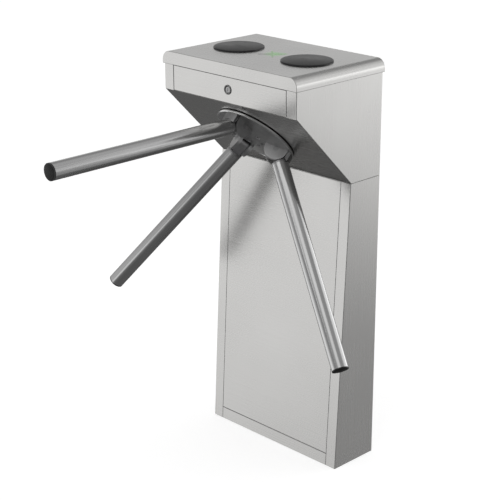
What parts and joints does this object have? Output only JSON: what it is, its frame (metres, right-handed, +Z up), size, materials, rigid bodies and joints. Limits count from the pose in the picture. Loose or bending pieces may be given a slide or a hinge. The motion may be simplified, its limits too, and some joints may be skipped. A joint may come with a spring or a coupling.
{
  "type": "tripod turnstile",
  "caption": "Floor-standing tripod turnstile with a slanted hub carrying tubular arms, a hinged lockable lid with card-reader discs, and its indexing and locking mechanism inside.",
  "frame": {"origin": "centre of the floor-anchor pattern, on the floor", "axes": "+Z up the cabinet; -Y towards the walkway that the arms reach into; +X to the right when looking along +Y"},
  "size_m": [0.7857, 0.7901, 0.9832],
  "materials": {
    "cabinet_steel": "brushed, satin",
    "arm_steel": "satin, grained along the tube",
    "hub_steel": "bead-blasted casting",
    "trim_steel": "turned bright",
    "machined_steel": "machined, lightly oiled",
    "fastener_steel": "bright zinc",
    "hinge_steel": "satin",
    "zinc_plate": "zinc-rich primer",
    "frame_aluminium": "milled",
    "bearing_steel": "ground",
    "lock_nickel": "nickel-plated",
    "cap_plastic": "moulded black",
    "reader_plastic": "fine moulded texture",
    "indicator_plastic": "translucent light guide",
    "grommet_rubber": "matt",
    "circuit_board": "solder mask",
    "supply_case": "pressed sheet",
    "terminal_plastic": "moulded grey",
    "solenoid_paint": "yellow zinc yoke",
    "damper_plastic": "moulded black",
    "encoder_plastic": "moulded black"
  },
  "bodies": {
    "cabinet": {"pedestal_shell": "cabinet_steel", "pedestal_front_panel": "cabinet_steel", "head_shell": "cabinet_steel", "head_front_panel": "cabinet_steel", "slant_plate": "cabinet_steel", "pawl_pivot_posts": "machined_steel", "joint_bolts": "fastener_steel", "lid_hinge_pins": "fastener_steel", "mechanism_bolts": "fastener_steel", "lid_hinge_fixed_leaves": "hinge_steel", "base_plate": "zinc_plate", "mechanism_front_plate": "frame_aluminium", "mechanism_rear_plate": "frame_aluminium", "mechanism_posts": "frame_aluminium", "bearing_housings": "frame_aluminium", "bearing_outer_rings": "bearing_steel", "lock_barrel": "lock_nickel", "lock_nut": "lock_nickel", "cable_grommet": "grommet_rubber", "controller_board": "circuit_board", "power_supply": "supply_case", "terminal_strip": "terminal_plastic", "solenoid_left": "solenoid_paint", "solenoid_right": "solenoid_paint", "damper_body": "damper_plastic", "encoder_sensor": "encoder_plastic"},
    "rotor": {"hub_disc": "hub_steel", "hub_trim_ring": "trim_steel", "hub_screws": "fastener_steel", "main_shaft": "machined_steel", "index_wheel": "machined_steel", "drive_gear": "machined_steel", "encoder_disc": "encoder_plastic", "bearing_inner_rings": "bearing_steel", "bearing_balls": "bearing_steel", "arm_rests": "hub_steel", "pivot_pins": "fastener_steel", "arm_root_left": "hub_steel", "arm_root_right": "hub_steel", "arm_tube_left": "arm_steel", "arm_tube_right": "arm_steel", "arm_cap_left": "cap_plastic", "arm_cap_right": "cap_plastic"},
    "top_arm": {"arm_root_top": "hub_steel", "arm_tube_top": "arm_steel", "arm_cap_top": "cap_plastic"},
    "lid": {"lid": "cabinet_steel", "lid_catch": "hinge_steel", "lid_hinge_moving_leaves": "hinge_steel", "reader_cover_left": "reader_plastic", "reader_cover_right": "reader_plastic", "reader_boards": "circuit_board", "indicator_lens": "indicator_plastic"},
    "lock_core": {"lock_plug": "lock_nickel", "lock_cam": "lock_nickel"},
    "damper_gear": {"damper_pinion": "damper_plastic"},
    "left_pawl": {"pawl_left": "machined_steel"},
    "right_pawl": {"pawl_right": "machined_steel"},
    "left_plunger": {"plunger_left": "machined_steel"},
    "right_plunger": {"plunger_right": "machined_steel"}
  },
  "joints": [
    {"name": "rotor_spin", "type": "hinge", "parent": "cabinet", "child": "rotor", "pos_m": [0, -0.12392, 0.80192], "axis": [0, -0.7071, -0.7071], "continuous": true},
    {"name": "arm_drop", "type": "hinge", "parent": "rotor", "child": "top_arm", "pos_m": [0, -0.17798, 0.83586], "axis": [1, 0, 0], "range_deg": [0, 90]},
    {"name": "lid_open", "type": "hinge", "parent": "cabinet", "child": "lid", "pos_m": [0, 0.077, 0.95], "axis": [-1, 0, 0], "range_deg": [0, 75]},
    {"name": "lock_turn", "type": "hinge", "parent": "cabinet", "child": "lock_core", "pos_m": [0, -0.212, 0.921], "axis": [0, 1, 0], "range_deg": [0, 90]},
    {"name": "damper_spin", "type": "hinge", "parent": "cabinet", "child": "damper_gear", "pos_m": [0, -0.12675, 0.89243], "axis": [0, -0.7071, -0.7071], "continuous": true},
    {"name": "right_pawl_swing", "type": "hinge", "parent": "cabinet", "child": "right_pawl", "pos_m": [0.082, -0.11685, 0.85142], "axis": [0, 0.7071, 0.7071], "range_deg": [0, 6.3], "stiffness_Nm_per_rad": 0.5, "springref_deg": -11.46},
    {"name": "left_pawl_swing", "type": "hinge", "parent": "cabinet", "child": "left_pawl", "pos_m": [-0.082, -0.11685, 0.85142], "axis": [0, -0.7071, -0.7071], "range_deg": [0, 6.3], "stiffness_Nm_per_rad": 0.5, "springref_deg": -11.46},
    {"name": "right_plunger_slide", "type": "slide", "parent": "cabinet", "child": "right_plunger", "axis": [1, 0, 0], "range_m": [0, 0.0037]},
    {"name": "left_plunger_slide", "type": "slide", "parent": "cabinet", "child": "left_plunger", "axis": [-1, 0, 0], "range_m": [0, 0.0037]}
  ],
  "couplings": [
    {"joint": "damper_spin", "follows": "rotor_spin", "ratio": -2.6667},
    {"joint": "right_plunger_slide", "follows": "right_pawl_swing", "m_per_rad": 0.033},
    {"joint": "left_plunger_slide", "follows": "left_pawl_swing", "m_per_rad": 0.033}
  ]
}
